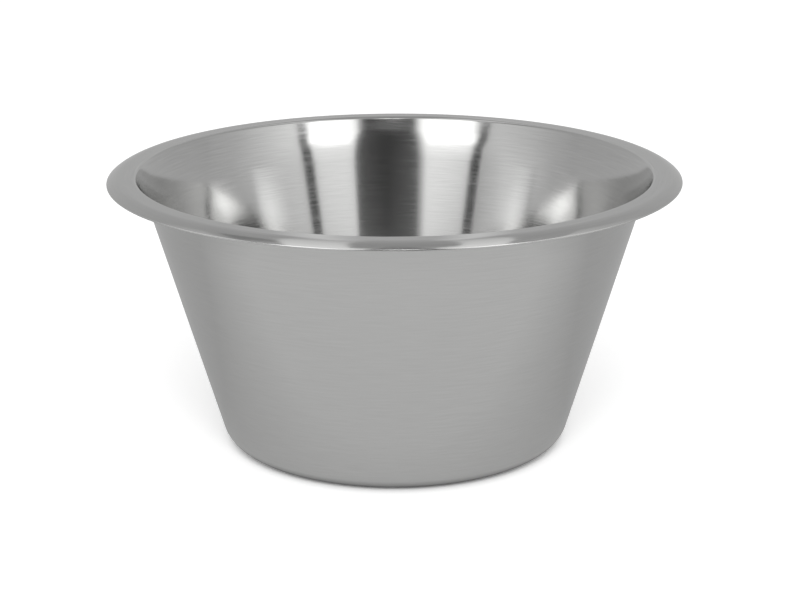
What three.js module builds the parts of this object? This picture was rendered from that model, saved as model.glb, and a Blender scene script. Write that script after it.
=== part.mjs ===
// Conical kitchen bowl, drawn from one disc of stainless sheet.
// Millimetres, +Z up, with the origin at the middle of the standing plane.
import * as THREE from "three";

// Driving dimensions
const rimDiameter = 200; // over the rolled-down lip
const overallHeight = 97.2; // standing plane to the top of the flange
const footDiameter = 120; // where the wall's outside face would meet the standing plane
const flangeWidth = 11.1; // lip to where the straight wall's outside face would meet the rim's top plane
const sheetThickness = 0.7;
const heelInsideRadius = 7.9; // bend from base to wall
const neckDepth = 10; // rim's top plane down to where the wall begins to open out
const neckFlare = THREE.MathUtils.degToRad(10); // how much further the neck leans out than the wall
const neckInsideRadius = 60; // bend from wall to neck
const shoulderInsideRadius = 0.8; // bend from neck to flange
const lipInsideRadius = 6.7; // bend from flange to lip
const lipTurn = THREE.MathUtils.degToRad(40); // how far the lip is rolled down from the flange
const lipStraight = 0.15; // straight run of the lip below its bend
const standingRingWidth = 9; // flat ring that the bowl stands on
const baseSetUp = 0.8; // how far the base panel is pressed up inside that ring
const setUpSlopeWidth = 6; // sloping band between the ring and the base panel
const setUpInsideRadius = 12; // bends at both ends of that band

// Fineness of the facets
const segmentsAround = 96;
const bendStep = THREE.MathUtils.degToRad(18);
const edgeSteps = 4;

// Places that follow from the dimensions, on the sheet's mid plane
const halfSheet = sheetThickness / 2;
const rimRadius = rimDiameter / 2;
const wallRise = new THREE.Vector2(rimRadius - flangeWidth - footDiameter / 2, overallHeight);
const wallDirection = wallRise.clone().normalize();
const wallFoot = new THREE.Vector2(footDiameter / 2 - halfSheet / wallDirection.y, 0);
const neckDirection = wallDirection.clone().rotateAround(new THREE.Vector2(), -neckFlare);
const outwards = new THREE.Vector2(1, 0);
const lipDirection = outwards.clone().rotateAround(new THREE.Vector2(), -lipTurn);
const heelBend = heelInsideRadius + halfSheet;
const neckBend = neckInsideRadius + halfSheet;
const shoulderBend = shoulderInsideRadius + halfSheet;
const lipBend = lipInsideRadius + halfSheet;
const setUpBend = setUpInsideRadius + halfSheet;

// The point at one height on a straight run of the mid plane
function alongRun(start, direction, height) {
  return start.clone().addScaledVector(direction, (height - start.y) / direction.y);
}

// How far a bend eats into the straight sheet on each side of its corner
function bendReach(before, after, radius) {
  const turn = Math.acos(THREE.MathUtils.clamp(before.dot(after), -1, 1));
  return radius * Math.tan(turn / 2);
}

// The corners of the sheet's section from the axis to the lip, each with its bend at mid plane
function sectionCorners() {
  const heel = alongRun(wallFoot, wallDirection, halfSheet);
  const neck = alongRun(wallFoot, wallDirection, overallHeight - neckDepth);
  const shoulder = alongRun(neck, neckDirection, overallHeight - halfSheet);
  const ringOuter = heel.x - bendReach(outwards, wallDirection, heelBend);
  const ringInner = ringOuter - standingRingWidth;
  const panelRadius = ringInner - setUpSlopeWidth;
  const panelHeight = baseSetUp + halfSheet;
  const lipRun = bendReach(outwards, lipDirection, lipBend) + lipStraight;
  const lip = new THREE.Vector2(rimRadius - halfSheet - lipRun * lipDirection.x, overallHeight - halfSheet);
  return [
    { at: new THREE.Vector2(0, panelHeight), bend: 0 },
    { at: new THREE.Vector2(panelRadius, panelHeight), bend: setUpBend },
    { at: new THREE.Vector2(ringInner, halfSheet), bend: setUpBend },
    { at: heel, bend: heelBend },
    { at: neck, bend: neckBend },
    { at: shoulder, bend: shoulderBend },
    { at: lip, bend: lipBend },
    { at: lip.clone().addScaledVector(lipDirection, lipRun), bend: 0 },
  ];
}

// The direction square to a run of the sheet, on its upper side
function upperSide(direction) {
  return new THREE.Vector2(-direction.y, direction.x);
}

// Stations along the sheet's mid plane, each with the direction to its upper side
function followSheet(corners) {
  const runs = corners
    .slice(1)
    .map((corner, i) => corner.at.clone().sub(corners[i].at).normalize());
  const stations = [{ at: corners[0].at, up: upperSide(runs[0]) }];
  for (let i = 1; i < corners.length - 1; i++) {
    const [before, after] = [runs[i - 1], runs[i]];
    const { at, bend } = corners[i];
    const turn = Math.atan2(before.cross(after), before.dot(after));
    const start = at.clone().addScaledVector(before, -bendReach(before, after, bend));
    const centre = start.clone().addScaledVector(upperSide(before), Math.sign(turn) * bend);
    const steps = Math.max(1, Math.ceil(Math.abs(turn) / bendStep));
    for (let k = 0; k <= steps; k++) {
      const up = upperSide(before).rotateAround(new THREE.Vector2(), (turn * k) / steps);
      stations.push({ at: centre.clone().addScaledVector(up, -Math.sign(turn) * bend), up });
    }
  }
  stations.push({ at: corners.at(-1).at, up: upperSide(runs.at(-1)) });
  return stations;
}

// One face of the sheet, half its thickness above or below the mid plane
function sheetFace(stations, offset) {
  return stations.map(({ at, up }) => at.clone().addScaledVector(up, offset));
}

// The deburred cut edge, a half round from the lower face to the upper one
function cutEdge({ at, up }) {
  const points = [];
  for (let k = 1; k < edgeSteps; k++) {
    const turn = Math.PI - (Math.PI * k) / edgeSteps;
    points.push(up.clone().multiplyScalar(halfSheet).rotateAround(new THREE.Vector2(), -turn).add(at));
  }
  return points;
}

// The whole bowl: its section turned about the axis, standing on the origin
function bowlShell() {
  const stations = followSheet(sectionCorners());
  const section = [
    ...sheetFace(stations, -halfSheet),
    ...cutEdge(stations.at(-1)),
    ...sheetFace(stations, halfSheet).reverse(),
  ];
  const satinStainless = new THREE.MeshStandardMaterial({
    color: 0xb6b5b3,
    metalness: 1,
    roughness: 0.35,
  });
  const shell = new THREE.Mesh(new THREE.LatheGeometry(section, segmentsAround), satinStainless);
  shell.name = "bowl_shell";
  shell.rotation.x = Math.PI / 2;
  return shell;
}

const conicalBowl = new THREE.Group();
conicalBowl.add(bowlShell());

export default conicalBowl;
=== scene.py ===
"""Conical kitchen bowl of satin-ground stainless steel, on a pale table in soft studio light."""
import math

import bmesh
import bpy
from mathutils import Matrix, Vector


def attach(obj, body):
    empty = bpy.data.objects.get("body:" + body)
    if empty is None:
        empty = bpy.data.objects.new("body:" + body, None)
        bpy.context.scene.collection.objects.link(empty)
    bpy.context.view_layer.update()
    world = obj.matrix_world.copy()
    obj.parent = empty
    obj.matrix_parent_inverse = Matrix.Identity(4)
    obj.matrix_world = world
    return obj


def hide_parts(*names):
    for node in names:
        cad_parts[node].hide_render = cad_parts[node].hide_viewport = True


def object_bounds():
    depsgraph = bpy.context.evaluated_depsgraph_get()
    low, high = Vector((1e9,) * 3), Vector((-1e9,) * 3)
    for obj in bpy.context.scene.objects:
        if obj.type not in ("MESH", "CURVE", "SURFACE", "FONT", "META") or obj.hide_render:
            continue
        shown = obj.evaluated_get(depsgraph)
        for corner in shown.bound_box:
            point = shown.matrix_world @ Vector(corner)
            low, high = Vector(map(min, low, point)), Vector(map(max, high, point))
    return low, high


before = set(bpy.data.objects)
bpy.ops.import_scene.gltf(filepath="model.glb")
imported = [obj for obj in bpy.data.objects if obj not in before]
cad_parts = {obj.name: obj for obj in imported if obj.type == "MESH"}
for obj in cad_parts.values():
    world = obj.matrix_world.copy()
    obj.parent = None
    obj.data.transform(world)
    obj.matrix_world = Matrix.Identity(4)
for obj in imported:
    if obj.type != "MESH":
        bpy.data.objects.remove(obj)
cad_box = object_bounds()

MM = 0.001
BOWL = "bowl_shell"

# Sizes of the bowl, as the drawn sheet has them
rim_radius = cad_box[1].x
overall_height = cad_box[1].z
foot_radius = 60 * MM  # where the wall's outside face would meet the table
flange_width = 11.1 * MM  # lip to where the straight wall's outside face would meet the rim's top plane
sheet = 0.7 * MM
heel_bend = 7.9 * MM  # inside radii of the bends
neck_bend = 60 * MM
shoulder_bend = 0.8 * MM
lip_bend = 6.7 * MM
set_up_bend = 12 * MM
neck_depth = 10 * MM  # rim's top plane down to where the wall begins to open out
neck_flare = math.radians(10)  # how much further the neck leans out than the wall
lip_turn = math.radians(40)  # how far the lip is rolled down from the flange
lip_straight = 0.15 * MM  # run of the lip below its bend
standing_ring = 9 * MM  # flat ring that the bowl stands on
base_set_up = 0.8 * MM  # how far the base panel is pressed up inside that ring
set_up_slope = 6 * MM  # sloping band between the ring and the base panel

# Fineness of the mesh
SEGMENTS_AROUND = 320
BEND_STEP = math.radians(7.5)  # turn of one facet in a bend
LEAST_BEND_SEGMENTS = 4
EDGE_SEGMENTS = 4
HOLD = 0.25 * MM  # straight sheet kept beside each bend, so that the long runs shade flat
NEAR = 0.01 * MM

# The photograph's camera
SENSOR = 36.0
PHOTO_WIDTH = 786
FOCAL_PIXELS = 2100
CAMERA_AIM = Vector((-0.66, 0, 49.43)) * MM
CAMERA_DISTANCE = 747.9 * MM
CAMERA_ELEVATION = math.radians(16.76)
CAMERA_ROLL = math.radians(-0.213)

# The studio
TENT_RADIUS = 440 * MM
LAYER_GAP = 10 * MM  # between cloths that hang one before the other
OVERHEAD_HEIGHT = 365 * MM
OVERHEAD_DEPTH = (-125 * MM, 266 * MM)  # front and back edge of the overhead cloths
CLOTH_GRID = 24


def linear(hex_colour):
    """The linear RGBA of an sRGB hex colour."""
    channels = [int(hex_colour[i : i + 2], 16) / 255 for i in (1, 3, 5)]
    return [c / 12.92 if c <= 0.04045 else ((c + 0.055) / 1.055) ** 2.4 for c in channels] + [1]


def add_node(tree, kind, inputs=None, **settings):
    """A node with its settings; each input takes a value or a link from another node's output."""
    node = tree.nodes.new(kind)
    for name, value in settings.items():
        setattr(node, name, value)
    for name, value in (inputs or {}).items():
        if isinstance(value, bpy.types.NodeSocket):
            tree.links.new(value, node.inputs[name])
        else:
            node.inputs[name].default_value = value
    return node


# The section of the sheet


def section_corners():
    """Corners of the sheet's mid plane from the base panel to the lip: radius, height and bend radius."""
    half = sheet / 2
    wall_lean = math.atan2(rim_radius - flange_width - foot_radius, overall_height)
    foot = foot_radius - half / math.cos(wall_lean)
    neck_height = overall_height - neck_depth
    top = overall_height - half
    heel = foot + half * math.tan(wall_lean)
    neck = foot + neck_height * math.tan(wall_lean)
    shoulder = neck + (top - neck_height) * math.tan(wall_lean + neck_flare)
    heel_reach = (heel_bend + half) * math.tan((math.pi / 2 - wall_lean) / 2)
    ring_inner = heel - heel_reach - standing_ring
    lip_run = (lip_bend + half) * math.tan(lip_turn / 2) + lip_straight
    lip = rim_radius - half - lip_run * math.cos(lip_turn)
    edge_run = lip_run + half
    return [
        (0, base_set_up + half, 0),
        (ring_inner - set_up_slope, base_set_up + half, set_up_bend + half),
        (ring_inner, half, set_up_bend + half),
        (heel, half, heel_bend + half),
        (neck, neck_height, neck_bend + half),
        (shoulder, top, shoulder_bend + half),
        (lip, top, lip_bend + half),
        (lip + edge_run * math.cos(lip_turn), top - edge_run * math.sin(lip_turn), 0),
    ]


def turn_at(corners, i):
    """How far the sheet turns at a corner, and how far the bend reaches along the runs beside it."""
    at = [Vector(corner[:2]) for corner in corners[i - 1 : i + 2]]
    turn = (at[1] - at[0]).angle(at[2] - at[1])
    return turn, corners[i][2] * math.tan(turn / 2)


def holding_rings(start, end, start_reach, end_reach):
    """Rings on the straight run between two corners, just clear of the bends at its ends."""
    run = Vector(end[:2]) - Vector(start[:2])
    near, far = start_reach + HOLD, run.length - end_reach - HOLD
    places = [near, far] if far - near > HOLD else []
    return [Vector(start[:2]) + run.normalized() * place for place in places]


# The mesh


def select_ring(radius, height, extend=False):
    """Selects the edges that run round the axis at one radius and height."""
    if not extend:
        bpy.ops.mesh.select_all(action="DESELECT")
    shape = bmesh.from_edit_mesh(bpy.context.edit_object.data)
    for edge in shape.edges:
        if all(abs(v.co.xy.length - radius) < NEAR and abs(v.co.z - height) < NEAR for v in edge.verts):
            edge.select_set(True)
    bmesh.update_edit_mesh(bpy.context.edit_object.data)


def extrude_ring(start, end):
    """Draws the selected ring on to the next radius and height."""
    bpy.ops.mesh.extrude_region_move(TRANSFORM_OT_translate={"value": (0, 0, end.y - start.y)})
    growth = end.x / start.x
    bpy.ops.transform.resize(value=(growth, growth, 1), center_override=(0, 0, end.y))


def round_bend(corner, turn, reach):
    """Rounds the sheet's corner to its bend radius, with the middle of the profile on the true arc."""
    select_ring(corner[0], corner[1])
    arc_middle = 1 - 0.5 / (1 + math.cos(turn / 2))  # from 0.5 on the chord to 1 at the corner
    bpy.ops.mesh.bevel(
        affect="EDGES",
        offset_type="OFFSET",
        offset=reach,
        segments=max(LEAST_BEND_SEGMENTS, math.ceil(turn / BEND_STEP)),
        profile=arc_middle**2,
        clamp_overlap=False,
    )


def model_bowl():
    """The bowl as it is drawn: a disc turned up ring by ring, its corners rounded, then thickened."""
    corners = section_corners()
    inner = range(1, len(corners) - 1)
    bends = {i: turn_at(corners, i) for i in inner}
    reaches = [bends[i][1] if i in bends else 0 for i in range(len(corners))]
    route = []
    for i in range(len(corners) - 1):
        route += [Vector(corners[i][:2])]
        route += holding_rings(corners[i], corners[i + 1], reaches[i], reaches[i + 1])
    route += [Vector(corners[-1][:2])]
    first = route[2]  # the flat disc of the base ends here

    bpy.ops.object.select_all(action="DESELECT")
    bpy.ops.mesh.primitive_circle_add(
        vertices=SEGMENTS_AROUND, radius=first.x, fill_type="TRIFAN", location=(0, 0, first.y)
    )
    bowl = bpy.context.object
    bowl.name = "satin_bowl"
    bpy.ops.object.transform_apply(location=True)
    bpy.ops.object.mode_set(mode="EDIT")
    bpy.ops.mesh.select_mode(type="EDGE")
    select_ring(first.x, first.y)
    for start, end in zip(route[2:], route[3:]):
        extrude_ring(start, end)
    for i in inner:
        round_bend(corners[i], *bends[i])
    bpy.ops.mesh.select_all(action="SELECT")
    bpy.ops.mesh.normals_make_consistent(inside=False)
    bpy.ops.object.mode_set(mode="OBJECT")

    wall = bowl.modifiers.new("sheet", "SOLIDIFY")
    wall.thickness = sheet
    wall.offset = 0
    wall.use_even_offset = True
    bpy.ops.object.modifier_apply(modifier=wall.name)

    edge = Vector(corners[-1][:2])
    across = Vector((math.sin(lip_turn), math.cos(lip_turn))) * sheet / 2
    bpy.ops.object.mode_set(mode="EDIT")
    select_ring(*(edge - across))
    select_ring(*(edge + across), extend=True)
    bpy.ops.mesh.bevel(affect="EDGES", offset=sheet / 2, segments=EDGE_SEGMENTS, profile=0.5)
    bpy.ops.mesh.select_all(action="SELECT")
    bpy.ops.mesh.remove_doubles(threshold=NEAR / 10)
    bpy.ops.object.mode_set(mode="OBJECT")
    bpy.ops.object.shade_smooth()
    return bowl


# The steel


def satin_ground_stainless():
    """Stainless sheet, satin ground in a lathe: fine lines run round the bowl, so what it mirrors stays
    crisp sideways and is drawn out up and down the wall."""
    line_spacing = 0.5 * MM  # real grinding lines lie about 0.1 mm apart, too fine to show here
    line_depth = 0.005 * MM
    line_turns = 7  # how often a line fades in and out on its way round
    line_pull = 0.4  # how far the lines draw out what they mirror
    quarter_turn = 0.25  # lays that blur across the lines
    noise_swing = (0.3, 0.7)  # most of the noise lies between these
    ground_roughness = (0.1, 0.145)
    edge_roughness = 0.3  # the cut edge is deburred and not ground, so it is duller
    edge_start, edge_full = 0.15 * MM, 0.12 * MM  # how far inside the rim's radius the dull edge begins
    outside_tones = ("#cccccb", "#d6d6d5")  # the darkest and the lightest lines
    inside_tones = ("#c7c7c6", "#dadad9")  # the inside is ground more coarsely
    steel = bpy.data.materials.new("satin_ground_stainless")
    steel.use_nodes = True
    tree = steel.node_tree
    shader = tree.nodes["Principled BSDF"]
    surface = add_node(tree, "ShaderNodeTexCoord")
    place = surface.outputs["Object"]
    flat = add_node(tree, "ShaderNodeVectorMath", {0: place, 1: (1, 1, 0)}, operation="MULTIPLY")
    radius = add_node(tree, "ShaderNodeVectorMath", {0: flat.outputs["Vector"]}, operation="LENGTH")
    around = add_node(tree, "ShaderNodeVectorMath", {0: flat.outputs["Vector"]}, operation="NORMALIZE")
    height = add_node(tree, "ShaderNodeSeparateXYZ", {0: place})
    across = add_node(
        tree, "ShaderNodeMath", {0: radius.outputs["Value"], 1: height.outputs["Z"]}, operation="ADD"
    )
    line = add_node(
        tree, "ShaderNodeMath", {0: across.outputs[0], 1: 1 / line_spacing}, operation="MULTIPLY"
    )
    step = add_node(tree, "ShaderNodeCombineXYZ", {"Z": line.outputs[0]})
    along = add_node(
        tree,
        "ShaderNodeVectorMath",
        {0: around.outputs["Vector"], 1: (line_turns, line_turns, 0), 2: step.outputs[0]},
        operation="MULTIPLY_ADD",
    )
    lines = add_node(
        tree, "ShaderNodeTexNoise", {"Vector": along.outputs["Vector"], "Scale": 1, "Detail": 2}
    )
    roughness = add_node(
        tree,
        "ShaderNodeMapRange",
        {
            "Value": lines.outputs["Fac"],
            "From Min": noise_swing[0],
            "From Max": noise_swing[1],
            "To Min": ground_roughness[0],
            "To Max": ground_roughness[1],
        },
    )
    at_edge = add_node(
        tree,
        "ShaderNodeMapRange",
        {
            "Value": radius.outputs["Value"],
            "From Min": rim_radius - edge_start,
            "From Max": rim_radius - edge_full,
            "To Max": edge_roughness,
        },
    )
    dull = add_node(
        tree,
        "ShaderNodeMath",
        {0: roughness.outputs["Result"], 1: at_edge.outputs["Result"]},
        operation="MAXIMUM",
    )
    outwards = add_node(
        tree,
        "ShaderNodeVectorMath",
        {0: flat.outputs["Vector"], 1: surface.outputs["Normal"]},
        operation="DOT_PRODUCT",
    )
    inside = add_node(tree, "ShaderNodeMath", {0: outwards.outputs["Value"], 1: 0}, operation="LESS_THAN")
    darker, lighter = [
        add_node(
            tree,
            "ShaderNodeMix",
            {0: inside.outputs[0], 6: linear(fine), 7: linear(coarse)},
            data_type="RGBA",
        )
        for fine, coarse in zip(outside_tones, inside_tones)
    ]
    tone = add_node(
        tree,
        "ShaderNodeMix",
        {0: lines.outputs["Fac"], 6: darker.outputs[2], 7: lighter.outputs[2]},
        data_type="RGBA",
    )
    relief = add_node(
        tree, "ShaderNodeBump", {"Strength": 1, "Distance": line_depth, "Height": lines.outputs["Fac"]}
    )
    tangent = add_node(tree, "ShaderNodeTangent", direction_type="RADIAL", axis="Z")
    shader.inputs["Metallic"].default_value = 1
    shader.inputs["Anisotropic"].default_value = line_pull
    shader.inputs["Anisotropic Rotation"].default_value = quarter_turn
    tree.links.new(tone.outputs[2], shader.inputs["Base Color"])
    tree.links.new(dull.outputs[0], shader.inputs["Roughness"])
    tree.links.new(relief.outputs["Normal"], shader.inputs["Normal"])
    tree.links.new(tangent.outputs["Tangent"], shader.inputs["Tangent"])
    return steel


# The studio


def from_bowl(azimuth, elevation, distance):
    """A place as seen from the bowl: azimuth 0 is towards the camera and grows to the right."""
    level = distance * math.cos(elevation)
    return Vector((level * math.sin(azimuth), -level * math.cos(azimuth), distance * math.sin(elevation)))


def white_surround():
    """A white room: plain white where it is seen, and a little dimmer as a source of light."""
    room_light = 0.8
    world = bpy.data.worlds.new("white_surround")
    bpy.context.scene.world = world
    world.use_nodes = True
    world.cycles.sampling_method = "NONE"
    tree = world.node_tree
    path = add_node(tree, "ShaderNodeLightPath")
    mirrored = add_node(
        tree,
        "ShaderNodeMath",
        {0: path.outputs["Is Glossy Ray"], 1: path.outputs["Is Transmission Ray"]},
        operation="MAXIMUM",
    )
    seen = add_node(
        tree,
        "ShaderNodeMath",
        {0: path.outputs["Is Camera Ray"], 1: mirrored.outputs[0]},
        operation="MAXIMUM",
    )
    level = add_node(
        tree, "ShaderNodeMapRange", {"Value": seen.outputs[0], "To Min": room_light, "To Max": 1}
    )
    background = tree.nodes["Background"]
    background.inputs["Color"].default_value = (1, 1, 1, 1)
    tree.links.new(level.outputs["Result"], background.inputs["Strength"])


def pale_table():
    """A wide matt white table that keeps the bowl's soft shadow. Its own light makes it plain white where
    it is seen; that light fades at the bowl's contact line as a painted contact shadow, and where the
    steel mirrors it, it is dimmer behind the bowl than in front as a painted shade."""
    table_size = 12
    paint_mirrored, paint_seen = 0.22, 0.95
    # its own light where the camera sees it: in the painted contact shadow, and clear of it
    light_in_painted_shadow, light_seen = 0.06, 0.3
    painted_shadow_start, painted_shadow_end = 55 * MM, 61.5 * MM  # radii that the painted contact shadow fades between
    front_light, painted_shade_behind = 0.4, 0.24  # as the steel mirrors it, in front of the bowl and behind, where it is dimmer as a painted shade
    # the painted shade behind the bowl begins this far in front of its axis
    front_depth = -80 * MM
    bpy.ops.object.select_all(action="DESELECT")
    bpy.ops.mesh.primitive_plane_add(size=table_size, location=(0, 0, 0))
    table = bpy.context.object
    table.name = "pale_table"
    paint = bpy.data.materials.new("matt_white_paint")
    paint.use_nodes = True
    tree = paint.node_tree
    path = add_node(tree, "ShaderNodeLightPath")
    place = add_node(tree, "ShaderNodeTexCoord").outputs["Object"]
    depth = add_node(tree, "ShaderNodeSeparateXYZ", {0: place})
    # painted shade: the light that the steel mirrors falls from in front of the bowl to behind it
    mirrored = add_node(
        tree,
        "ShaderNodeMapRange",
        {
            "Value": depth.outputs["Y"],
            "From Min": front_depth,
            "From Max": 0,
            "To Min": front_light,
            "To Max": painted_shade_behind,
        },
    )
    # painted contact shadow: 0 at the bowl's contact line, rising to 1 clear of it
    radius = add_node(tree, "ShaderNodeVectorMath", {0: place}, operation="LENGTH")
    clear = add_node(
        tree,
        "ShaderNodeMapRange",
        {"Value": radius.outputs["Value"], "From Min": painted_shadow_start, "From Max": painted_shadow_end},
    )
    # the mirrored light, with the painted shade behind the bowl and the painted contact shadow
    mirrored_painted_shade = add_node(
        tree,
        "ShaderNodeMath",
        {0: mirrored.outputs["Result"], 1: clear.outputs["Result"]},
        operation="MULTIPLY",
    )
    # the light the camera sees, dimmed towards the contact line as a painted contact shadow
    seen = add_node(
        tree,
        "ShaderNodeMapRange",
        {"Value": clear.outputs["Result"], "To Min": light_in_painted_shadow, "To Max": light_seen},
    )
    shade = add_node(
        tree,
        "ShaderNodeMapRange",
        {"Value": path.outputs["Is Camera Ray"], "To Min": paint_mirrored, "To Max": paint_seen},
    )
    matt = add_node(tree, "ShaderNodeBsdfDiffuse", {"Color": shade.outputs["Result"]})
    # the table's own light, which carries the painted contact shadow and the painted shade behind the bowl
    lift = add_node(
        tree,
        "ShaderNodeMapRange",
        {
            "Value": path.outputs["Is Camera Ray"],
            "To Min": mirrored_painted_shade.outputs[0],
            "To Max": seen.outputs["Result"],
        },
    )
    white = add_node(tree, "ShaderNodeEmission", {"Strength": lift.outputs["Result"]})
    paper = add_node(tree, "ShaderNodeAddShader", {0: matt.outputs[0], 1: white.outputs[0]})
    tree.links.new(paper.outputs[0], tree.nodes["Material Output"].inputs["Surface"])
    table.data.materials.append(paint)


def lit_cloth():
    """White cloth lit from behind: each place on it has its own brightness."""
    cloth = bpy.data.materials.new("lit_cloth")
    cloth.use_nodes = True
    tree = cloth.node_tree
    glow = add_node(tree, "ShaderNodeAttribute", attribute_name="glow")
    light = add_node(tree, "ShaderNodeEmission", {"Strength": glow.outputs["Fac"]})
    tree.links.new(light.outputs[0], tree.nodes["Material Output"].inputs["Surface"])
    return cloth


def between(values, share):
    """The value part of the way along a row of evenly spaced values."""
    last = len(values) - 1
    step = min(int(share * last), last - 1)
    return values[step] + (values[step + 1] - values[step]) * (share * last - step)


def hang_cloth(name, place, brightness):
    """A cloth of the light tent that only the steel sees. Its place follows from the share of the way
    across and up it, and so does its brightness, which runs between rows of values."""
    bpy.ops.object.select_all(action="DESELECT")
    bpy.ops.mesh.primitive_grid_add(x_subdivisions=CLOTH_GRID, y_subdivisions=CLOTH_GRID, size=1)
    cloth = bpy.context.object
    cloth.name = name
    glow = cloth.data.attributes.new("glow", "FLOAT", "POINT")
    for vertex in cloth.data.vertices:
        across, up = vertex.co.x + 0.5, vertex.co.y + 0.5
        glow.data[vertex.index].value = between([between(edge, across) for edge in brightness], up)
        vertex.co = place(across, up)
    cloth.data.materials.append(bpy.data.materials.get("lit_cloth") or lit_cloth())
    cloth.visible_camera = False
    cloth.visible_diffuse = False
    cloth.visible_shadow = False


def tent_cloth(name, sides, heights, layer, brightness):
    """A cloth on a sphere round the bowl. Its left and right azimuths from foot to head and its elevations
    are in degrees, and a higher layer hangs nearer to the bowl. Its brightness is given in rows from foot to
    head, each from left to right."""

    def place(across, up):
        azimuth = between([between(row, across) for row in sides], up)
        elevation = between(heights, up)
        return from_bowl(math.radians(azimuth), math.radians(elevation), TENT_RADIUS - layer * LAYER_GAP)

    hang_cloth(name, place, brightness)


def overhead_cloth(name, sides, brightness):
    """A level cloth over the bowl, with its left and right edges at the front and at the back."""

    def place(across, up):
        side = between([between(row, across) for row in sides], up)
        return Vector((side, between(OVERHEAD_DEPTH, up), OVERHEAD_HEIGHT))

    hang_cloth(name, place, brightness)


def softbox(name, sides, heights, depth, brightness):
    """A soft lamp between two azimuths and two elevations in degrees, as seen from the bowl, and as far
    inside the tent as its depth."""
    azimuth = math.radians(sum(sides) / 2)
    elevation = math.radians(sum(heights) / 2)
    place = from_bowl(azimuth, elevation, TENT_RADIUS - depth)
    level = Vector(place.xy).length
    bpy.ops.object.light_add(type="AREA", location=place)
    lamp = bpy.context.object
    lamp.name = name
    lamp.data.shape = "RECTANGLE"
    lamp.data.size = 2 * level * math.tan(math.radians(sides[1] - sides[0]) / 2)
    lamp.data.size_y = 2 * place.length * math.tan(math.radians(heights[1] - heights[0]) / 2)
    lamp.data.energy = brightness * math.pi * lamp.data.size * lamp.data.size_y
    lamp.rotation_euler = place.to_track_quat("Z", "Y").to_euler()
    lamp.visible_camera = False
    return lamp


def side_cloths():
    """The cloths on the left and right, mirrored in the sides of the inside. Their glows give the two soft
    stripes there, and the seams beside the front cloths two thin dark lines."""
    tent_cloth(
        "left_side",
        sides=((-110, -44), (-110, -56)),
        heights=(2, 56),
        layer=1,
        brightness=((0.48, 0.5, 0.75, 0.85, 0.3), (0.48, 0.85)),
    )
    tent_cloth(
        "right_side",
        sides=((50, 114), (50, 114)),
        heights=(2, 58),
        layer=1,
        brightness=((0.5, 0.5), (1.22, 1.05, 0.82, 0.58, 0.5)),
    )
    tent_cloth(
        "left_glow",
        sides=((-84, -62), (-84, -62)),
        heights=(20, 28.5),
        layer=2,
        brightness=((0.2, 1.3, 1.9, 1.4, 0.75), (0.65, 0.82)),
    )
    tent_cloth(
        "right_glow",
        sides=((65, 86), (65, 86)),
        heights=(20, 28.5),
        layer=2,
        brightness=((0.85, 1.5, 1.95, 1.6, 0.4), (0.76, 0.65)),
    )
    tent_cloth(
        "left_seam",
        sides=((-46.2, -39.8), (-54.2, -47.8), (-63, -57)),
        heights=(20, 44, 56),
        layer=4,
        brightness=((0.06, 0.06), (0.06, 0.06)),
    )
    tent_cloth(
        "right_seam",
        sides=((43.2, 49.6), (49.6, 56), (57.5, 63.5)),
        heights=(20, 42, 56),
        layer=4,
        brightness=((0.06, 0.06), (0.06, 0.06), (0.25, 0.25)),
    )


def front_cloths():
    """The bright cloths in front, and the slit between them, which the far wall mirrors as a dark band."""
    tent_cloth(
        "left_front",
        sides=((-44, -13), (-56, -13), (-50, -19)),
        heights=(8, 48, 76),
        layer=2,
        brightness=((0.1, 0.8), (1.4, 1.45), (0.9, 0.9)),
    )
    tent_cloth(
        "right_front",
        sides=((21, 48), (21, 57), (31, 52)),
        heights=(8, 48, 76),
        layer=2,
        brightness=((0.85, 0.35), (1.2, 1.4), (0.9, 0.9)),
    )
    tent_cloth(
        "slit",
        sides=((-13.5, 21.5), (-13.8, 22.8), (-14, 24)),
        heights=(0, 32, 62),
        layer=3,
        brightness=((0.4, 0.28, 0.38), (0.13, 0.055, 0.115), (0.1, 0.03, 0.07)),
    )
    tent_cloth(
        "slit_edge",
        sides=((-18, -13.5), (-18, -13.5)),
        heights=(0, 64),
        layer=3,
        brightness=((0.7, 0.2), (1.2, 0.2)),
    )
    tent_cloth(
        "slit_top",
        sides=((-11, 17), (-11, 17)),
        heights=(63, 70),
        layer=4,
        brightness=((0.3, 1.6, 1.6, 0.3), (0.3, 3, 3, 0.3)),
    )


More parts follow.
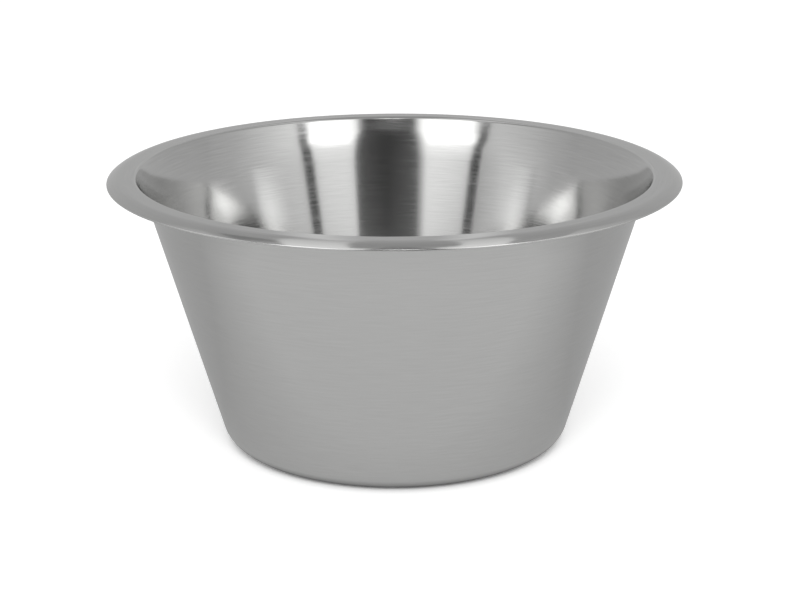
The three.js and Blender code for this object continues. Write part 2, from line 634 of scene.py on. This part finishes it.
def upper_cloths():
    """The tent itself, and the cloths over and behind the bowl, mirrored in the flange and its lip."""
    tent_cloth(
        "surround",
        sides=((-180, 180), (-180, 180)),
        heights=(-2, 90),
        layer=0,
        brightness=((0.55, 0.55), (0.36, 0.36)),
    )
    tent_cloth(
        "ceiling_gap",
        sides=((-14, 24), (-14, 24)),
        heights=(62, 90),
        layer=3,
        brightness=((0.16, 0.16), (0.36, 0.36)),
    )
    tent_cloth(
        "left_gap",
        sides=((-114, -84), (-114, -84)),
        heights=(60, 75),
        layer=1,
        brightness=((0.28, 0.28), (0.28, 0.28)),
    )
    back_brightness = ((0.53, 0.69, 0.53), (0.53, 0.76, 0.53), (0.5, 0.72, 0.5))
    for name, sides in (
        ("left_back", ((-177, -170.5), (-177, -169.5), (-175, -165))),
        ("right_back", ((170.5, 176), (169.5, 176), (165, 174))),
    ):
        tent_cloth(name, sides, heights=(25, 40, 55), layer=1, brightness=back_brightness)
    for name, front, back in (
        ("left_overhead", (-155, -58), (-68, -24)),
        ("right_overhead", (84, 157), (34, 74)),
    ):
        sides = [[edge * MM for edge in row] for row in (front, back)]
        overhead_cloth(name, sides, brightness=((1, 1), (0.52, 0.52)))


def soft_lamps():
    """Two lamps before the front cloths, brighter in the middle, and a fill that only lights the table."""
    for name, sides, middle in (
        ("left_softbox", (-53, -19), (-49, -31)),
        ("right_softbox", (25, 57), (36, 53)),
    ):
        softbox(name, sides, heights=(49, 64), depth=70 * MM, brightness=0.6)
        softbox(name + "_middle", middle, heights=(50.5, 60), depth=80 * MM, brightness=0.7)
    fill = softbox("front_fill", sides=(-15, 15), heights=(30, 50), depth=-700 * MM, brightness=8)
    fill.visible_glossy = False


def photo_camera():
    """The camera at the photograph's place."""
    data = bpy.data.cameras.new("photo_camera")
    data.sensor_width = SENSOR
    data.lens = SENSOR * FOCAL_PIXELS / PHOTO_WIDTH
    camera = bpy.data.objects.new("photo_camera", data)
    bpy.context.scene.collection.objects.link(camera)
    back = Vector((0, -math.cos(CAMERA_ELEVATION), math.sin(CAMERA_ELEVATION)))
    camera.location = CAMERA_AIM + back * CAMERA_DISTANCE
    camera.rotation_mode = "ZYX"
    camera.rotation_euler = (math.pi / 2 - CAMERA_ELEVATION, 0, CAMERA_ROLL)
    bpy.context.scene.camera = camera


bpy.context.scene.view_settings.view_transform = "Standard"
photo_camera()
white_surround()
pale_table()
upper_cloths()
side_cloths()
front_cloths()
soft_lamps()

bowl = model_bowl()
bowl.data.materials.append(satin_ground_stainless())
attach(bowl, "root")
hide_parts(BOWL)
